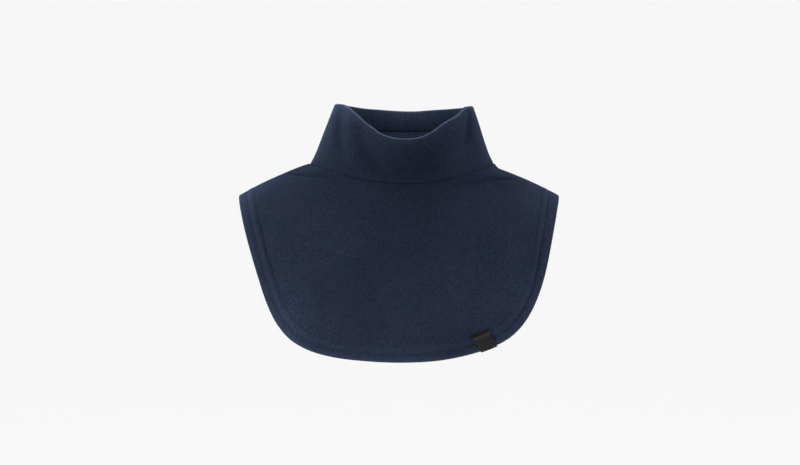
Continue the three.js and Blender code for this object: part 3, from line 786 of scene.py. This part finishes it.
label = {
    "hemX": 90.2, "width": 17.6, "topWidth": 20.4,
    "reach": 17.6, "reachInside": 16.6,
    "lean": 3.9,  # of its top to the left of its fold
    "slant": 0.07,  # of its top edge, up to the right
    "topPaintedHighlight": 1.6, "topStrip": (12.5, 14.5),  # painted highlight where its top turns up: how much lighter its front is, and where, from the hem
    "thickness": 0.55, "gap": 0.3,
    "arch": 0.5,  # how far it stands off the hem half way up
    "topSink": 0.7,  # where the tack pulls its top edge in
    "columns": 16, "rows": (12, 12, 18),
}
tack = {
    "from": -11.6, "to": 10.4, "at": 17.7, "height": 2.6, "pitch": 0.7, "radius": 0.7,
    "proud": 1.1, "unevenProud": 0.06, "unevenHeight": (0.9, 1.1),
    "zigzag": 0.35, "seed": 5,
    "paintedShadowKnot": (9.4, 11.5, 1.1),  # a dark lump of thread as painted shadow: across, from the hem, radius
}


def squareToHem(side, arc, distance):  # the column and share this far in, square to the hem
    column = arc / side["hemLength"]
    low, edge, high = side["hemAt"](np.array([column - 1e-3, column, column + 1e-3]))
    columns = np.linspace(column - 0.03, column + 0.03, 121)
    offset = (panelPoint(side, columns, shareAt(side, columns, distance)) - edge) @ unit(high - low)
    found = np.interp([0], offset, columns)
    return found, shareAt(side, found, distance)


def onHem(side, arc, distance):  # a place on the front hem's face, its normal and the way down
    column, share = squareToHem(side, arc, distance)
    place, normal = surface(side, column, share)
    lower, _ = surface(side, *squareToHem(side, arc, distance - 0.5))
    return place[0], normal[0], unit(lower - place)[0]


def labelArc(side):
    arcs = np.linspace(side["hemLength"] * 0.5, side["hemLength"], 2000)
    return np.interp(label["hemX"], side["hemAt"](arcs / side["hemLength"])[:, 0], arcs)


def makeLabel(side):
    middle = labelArc(side)
    lift = hem["puff"] + label["gap"] + label["thickness"]
    rows = rowsRoundHem(label["reachInside"], label["reach"], *label["rows"])
    places = []
    for kind, at in rows:
        row = []
        for across in np.linspace(-0.5, 0.5, label["columns"] + 1):
            far = {"fold": hem["fold"], "outside": at * (1 + label["slant"] * across)}.get(kind, at)
            outward = {"inside": -1, "outside": 1}.get(kind, -math.cos(at))
            width = mix(label["width"], label["topWidth"], far / label["reach"])
            arc = middle + across * width - label["lean"] * outward * far / label["reach"]
            place, normal, down = onHem(side, arc, far)
            if kind == "inside":
                place = place - normal * (hem["depth"] + label["gap"] + label["thickness"])
            elif kind == "outside":
                share = (at - hem["fold"]) / (label["reach"] - hem["fold"])
                arch = label["arch"] * math.sin(math.pi * share)
                arch -= label["topSink"] * smooth((share - 0.8) / 0.2)
                place = place + normal * (lift + arch)
            else:
                away = mix(label["gap"] + label["thickness"], lift, 0.5 - 0.5 * math.cos(at))
                radius = hem["fold"] + away
                place = (place - normal * (hem["fold"] + radius * math.cos(at))
                         + down * radius * math.sin(at))
            row.append(place)
        places.append(row)
    places = np.array(places)
    across = np.linspace(0, label["width"], places.shape[1])
    low, high = label["topStrip"]
    # painted highlight on the top strip of the tape's front
    lift = byRows([label["topPaintedHighlight"] * smooth((at - low) / (high - low)) * (kind == "outside")
                   for kind, at in rows], len(across))
    return clothSheet("labelTape", places, across, lift * 0, lift, lift * 0 + 1, label["thickness"])


def makeTack(side):  # a dense zigzag over the label's top edge
    middle = labelArc(side)
    chance = random.Random(tack["seed"])
    bm = bmesh.new()
    for index, across in enumerate(np.arange(tack["from"], tack["to"], tack["pitch"])):
        lean = 1 if index % 2 else -1
        arc = middle + across - label["lean"]
        at = tack["at"] * (1 + label["slant"] * across / label["topWidth"])
        place, normal, down = (Vector(v) for v in onHem(side, arc, at))
        along = (down + normal.cross(down) * tack["zigzag"] * lean).normalized()
        uneven = tack["unevenProud"]
        spot = place + normal * (tack["proud"] + chance.uniform(-uneven, uneven))
        height = tack["height"] * chance.uniform(*tack["unevenHeight"])
        putStitch(bm, spot, along, normal, height, tack["radius"])
    across, at, radius = tack["paintedShadowKnot"]  # a dark lump of thread at the label's right edge, painted shadow where the label bridges the hem's outer stitch row
    place, normal, down = (Vector(v) for v in onHem(side, middle + across - label["lean"] / 2, at))
    putStitch(bm, place + normal * tack["proud"], down, normal, 2 * radius, radius)
    return addMesh("labelTack", bm)


labelTape = makeLabel(sides["front"])
labelTack = makeTack(sides["front"])
bpy.data.meshes.remove(grain)
print("label made:", len(labelTape.data.polygons) + len(labelTack.data.polygons), "faces")


# Materials

class Wire:  # a socket that can be written into sums
    def __init__(self, tree, socket=None):
        self.tree, self.socket = tree, socket

    def add(self, kind, settings=None, inputs=None, output=0):
        node = self.tree.nodes.new(kind)
        for key, value in (settings or {}).items():
            setattr(node, key, value)
        for key, value in (inputs or {}).items():
            if isinstance(value, Wire):
                self.tree.links.new(value.socket, node.inputs[key])
            else:
                node.inputs[key].default_value = value
        return Wire(self.tree, node.outputs[output] if node.outputs else None)

    def maths(self, operation, first, second):
        return self.add("ShaderNodeMath", {"operation": operation}, {0: first, 1: second})

    def __add__(self, other):
        return self.maths("ADD", self, other)

    def __sub__(self, other):
        return self.maths("SUBTRACT", self, other)

    def __rsub__(self, other):
        return self.maths("SUBTRACT", other, self)

    def __mul__(self, other):
        return self.maths("MULTIPLY", self, other)

    __radd__ = __add__
    __rmul__ = __mul__

    def noise(self, scale, detail, roughness=0.5):  # at the places that this wire gives
        values = {"Vector": self, "Scale": scale, "Detail": detail, "Roughness": roughness}
        return self.add("ShaderNodeTexNoise", {}, values)

    def bump(self, strength, depth):  # of this wire's height
        values = {"Height": self, "Strength": strength, "Distance": depth}
        return self.add("ShaderNodeBump", {}, values, "Normal")

    def blend(self, low, high):  # a colour between two, by this wire's value
        return self.add("ShaderNodeMix", {"data_type": "RGBA", "clamp_factor": True},
                        {0: self, 6: low, 7: high}, 2)

    def times(self, other):  # colour by colour, or each part of a place
        return self.add("ShaderNodeVectorMath", {"operation": "MULTIPLY"}, {0: self, 1: other}, "Vector")

    def scaled(self, amount):
        values = {0: self, "Scale": amount}
        return self.add("ShaderNodeVectorMath", {"operation": "SCALE"}, values, "Vector")


def newMaterial(name):
    material = bpy.data.materials.new(name)
    material.use_nodes = True
    material.node_tree.nodes.clear()
    return material, Wire(material.node_tree)


def finishMaterial(start, **inputs):
    fixed = {key.replace("_", " "): value for key, value in inputs.items()}
    shader = start.add("ShaderNodeBsdfPrincipled", {}, fixed)
    start.add("ShaderNodeOutputMaterial", {}, {"Surface": shader})


def attribute(start, name):
    return start.add("ShaderNodeAttribute", {"attribute_name": name}, {}, "Fac")


fleece = {
    "dark": (0.0052, 0.0072, 0.0136, 1), "light": (0.0162, 0.0215, 0.0385, 1), "middle": 0.45,
    "layers": {  # scale, detail, roughness, weight in the colour and the bump
        "pile": (1000, 4, 0.6, 3.0, 0.8), "mottle": (230, 3, 0.5, 0.4, 0.35),
        "patch": (28, 2, 0.5, 0.35, 0), "grain": (2000, 2, 0.5, 2.6, 0.3),
    },
    "pill": (420, 0.15, 0.35),  # scale, weight in the colour and the bump
    "wales": (700, 2), "walesStretch": (1, 1, 0.22), "walesTone": 0.5,
    "hue": (40, 2), "hueSpread": 2.5,
    "tintRed": (1.05, 0.99, 1.0, 1), "tintBlue": (0.955, 1.005, 1.0, 1),
    "paintedHighlightWhite": (1.12, 1.0, 0.84, 1),  # painted highlight: whiter and less blue where the painted light is strongest
    "paintedHighlightFrom": 1.4, "paintedHighlightSlope": 0.5,
    "bump": (0.55, 0.0007),  # strength, depth
    "roughness": 0.86,
    "sheen": 0.2, "sheenRoughness": 0.45, "sheenTint": (0.3, 0.4, 0.7, 1),
    "seamShade": 0.3,
}


def fleeceMaterial(name):
    material, start = newMaterial(name)
    place = start.add("ShaderNodeTexCoord", {}, {}, "Object")
    tuckShade, lift = attribute(start, "tuckShade"), attribute(start, "paintedLight")
    tone, height, layers = fleece["middle"], 0, {}
    for layer, (scale, detail, roughness, inColour, inBump) in fleece["layers"].items():
        layers[layer] = place.noise(scale, detail, roughness)
        tone = tone + (layers[layer] - 0.5) * inColour
        height = height + layers[layer] * inBump
    scale, inColour, inBump = fleece["pill"]
    pill = start.add("ShaderNodeTexVoronoi", {}, {"Vector": place, "Scale": scale}, "Distance")
    wales = place.times(fleece["walesStretch"]).noise(*fleece["wales"])
    # painted seam shade darkens the tone near seams and stitch rows
    tone = (tone + (wales - 0.5) * fleece["walesTone"] + (fleece["middle"] - pill) * inColour
            - tuckShade * fleece["seamShade"])
    hue = (place.noise(*fleece["hue"]) - 0.5) * fleece["hueSpread"] + 0.5
    tint = hue.blend(fleece["tintBlue"], fleece["tintRed"])
    # painted light and shade scale the colour, and strong painted light turns whiter as a painted highlight
    paintedHighlightWhite = ((lift - fleece["paintedHighlightFrom"]) * fleece["paintedHighlightSlope"]).blend((1, 1, 1, 1), fleece["paintedHighlightWhite"])
    colour = tone.blend(fleece["dark"], fleece["light"]).scaled(lift + 1).times(tint).times(paintedHighlightWhite)
    rough = layers["pile"] * (1 - fleece["roughness"]) + fleece["roughness"]
    finishMaterial(start, Base_Color=colour, Roughness=rough,
                   Normal=(height - pill * inBump).bump(*fleece["bump"]),
                   Specular_IOR_Level=0.0, Sheen_Weight=fleece["sheen"],
                   Sheen_Roughness=fleece["sheenRoughness"], Sheen_Tint=fleece["sheenTint"])
    return material


thread = {
    "strand": (2600, 2), "bump": (0.4, 0.0001), "roughness": (0.55, 0.3), "specular": 0.05,
    "hem": ((0.006, 0.008, 0.015, 1), (0.016, 0.021, 0.037, 1)),
    "tack": ((0.003, 0.0028, 0.0028, 1), (0.008, 0.0075, 0.0075, 1)),
}


def threadMaterial(name, dark, light):
    material, start = newMaterial(name)
    strand = start.add("ShaderNodeTexCoord", {}, {}, "Object").noise(*thread["strand"])
    least, spread = thread["roughness"]
    finishMaterial(start, Base_Color=strand.blend(dark, light), Roughness=strand * spread + least,
                   Normal=strand.bump(*thread["bump"]), Specular_IOR_Level=thread["specular"])
    return material


weave = {  # fine ribs across the tape and its yarns
    "dark": (0.0022, 0.0019, 0.002, 1), "light": (0.0122, 0.0112, 0.0118, 1),
    "middle": 0.35, "heightTone": 0.8, "grainTone": 2.6,
    "ribs": (60, 0.6), "yarns": (75, 0.3), "grain": (900, 3), "grainHeight": 0.3,  # scale, height
    "bump": (0.45, 0.00025), "roughness": (0.62, 0.2), "specular": 0.1,
    "sheen": 0.04, "sheenRoughness": 0.4,
}


def labelMaterial(name):
    material, start = newMaterial(name)
    flat = start.add("ShaderNodeUVMap", {"uv_map": "cloth"})
    grain = start.add("ShaderNodeTexCoord", {}, {}, "Object").noise(*weave["grain"])
    height = 0
    for direction, (scale, tall) in (("Y", weave["ribs"]), ("X", weave["yarns"])):
        height = height + tall * start.add("ShaderNodeTexWave", {"bands_direction": direction},
                                           {"Vector": flat, "Scale": scale})
    height = height + grain * weave["grainHeight"]
    tone = (height - 0.5) * weave["heightTone"] + (grain - 0.5) * weave["grainTone"] + weave["middle"]
    # painted highlight on the tape scales its colour
    colour = tone.blend(weave["dark"], weave["light"]).scaled(attribute(start, "paintedLight") + 1)
    least, spread = weave["roughness"]
    finishMaterial(start, Base_Color=colour, Roughness=grain * spread + least,
                   Normal=height.bump(*weave["bump"]),
                   Specular_IOR_Level=weave["specular"],
                   Sheen_Weight=weave["sheen"], Sheen_Roughness=weave["sheenRoughness"])
    return material


fleeceNavy = fleeceMaterial("fleeceNavy")
fleeceCollar = fleeceMaterial("fleeceCollar")
hemThread = threadMaterial("hemThread", *thread["hem"])
tackThread = threadMaterial("tackThread", *thread["tack"])
labelWeave = labelMaterial("labelWeave")
print("materials made")

pieces = [
    (collarCloth, fleeceCollar, "collar_fleece", "collar"),
    (frontCloth, fleeceNavy, "panel_fleece", "front_panel"),
    (backCloth, fleeceNavy, "panel_fleece", "back_panel"),
    (labelTape, labelWeave, "label_tape", "label"),
    (frontStitches, hemThread, "panel_fleece", None),
    (backStitches, hemThread, "panel_fleece", None),
    (labelTack, tackThread, "label_tape", None),
]
for obj, material, slotName, node in pieces:
    obj.data.materials.append(material)
    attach(obj, "root")
    if node:
        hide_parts(node)


# Floor, light and camera

studio = {
    "floorHeight": -0.62, "floorRadius": 60, "floorColour": (0.842, 0.842, 0.842, 1),
    "air": (0.5, 0.5, 0.5, 1),
    "sunAngle": 60,
    "suns": [("sunLeft", 2.52, (65, 0, -75)), ("sunRight", 1.94, (65, 0, 75))],
    "cardSize": 0.5, "cardTarget": (0, -0.04, -0.08),
    "cards": [
        ("cardLeft", 5.5, (-0.5, -0.4, -0.45)), ("cardRight", 3.0, (0.5, -0.4, -0.45)),
        ("cardOver", 3.0, (0, 0, 0.8)),
    ],
}
view = {
    "target": (-0.0021, 0, -0.0709), "distance": 4, "elevation": 5,
    "frameWidth": 0.84,  # what the picture is wide at the target
    "sensor": 36,
}


def makeFloor():
    bm = bmesh.new()
    bmesh.ops.create_circle(bm, cap_ends=True, segments=96, radius=studio["floorRadius"])
    bmesh.ops.translate(bm, verts=bm.verts, vec=(0, 0, studio["floorHeight"]))
    floor = addMesh("floor", bm)
    material, start = newMaterial("floorPale")
    finishMaterial(start, Base_Color=studio["floorColour"], Roughness=1.0, Specular_IOR_Level=0.0)
    floor.data.materials.append(material)


def makeSun(name, power, turn):
    lamp = bpy.data.lights.new(name, "SUN")
    lamp.energy, lamp.angle = power, math.radians(studio["sunAngle"])
    addObject(name, lamp).rotation_euler = [math.radians(a) for a in turn]


def makeCard(name, power, spot):  # a soft square light, turned to the piece
    lamp = bpy.data.lights.new(name, "AREA")
    lamp.energy, lamp.size = power, studio["cardSize"]
    obj = addObject(name, lamp)
    obj.location = spot
    aim = Vector(studio["cardTarget"]) - Vector(spot)
    obj.rotation_euler = aim.to_track_quat("-Z", "Y").to_euler()


def makeCamera():
    data = bpy.data.cameras.new("camera")
    data.sensor_width = view["sensor"]
    data.lens = view["sensor"] * view["distance"] / view["frameWidth"]
    camera = addObject("camera", data)
    lean = math.radians(view["elevation"])
    back = Vector((0, -math.cos(lean), math.sin(lean))) * view["distance"]
    camera.location = Vector(view["target"]) + back
    camera.rotation_euler = (math.pi / 2 - lean, 0, 0)
    bpy.context.scene.camera = camera


makeFloor()
for sun in studio["suns"]:
    makeSun(*sun)
for card in studio["cards"]:
    makeCard(*card)
makeCamera()
world = bpy.data.worlds.new("air")
world.use_nodes = True
world.node_tree.nodes["Background"].inputs["Color"].default_value = studio["air"]
bpy.context.scene.world = world
bpy.context.scene.view_settings.view_transform = "Standard"
print("studio made")
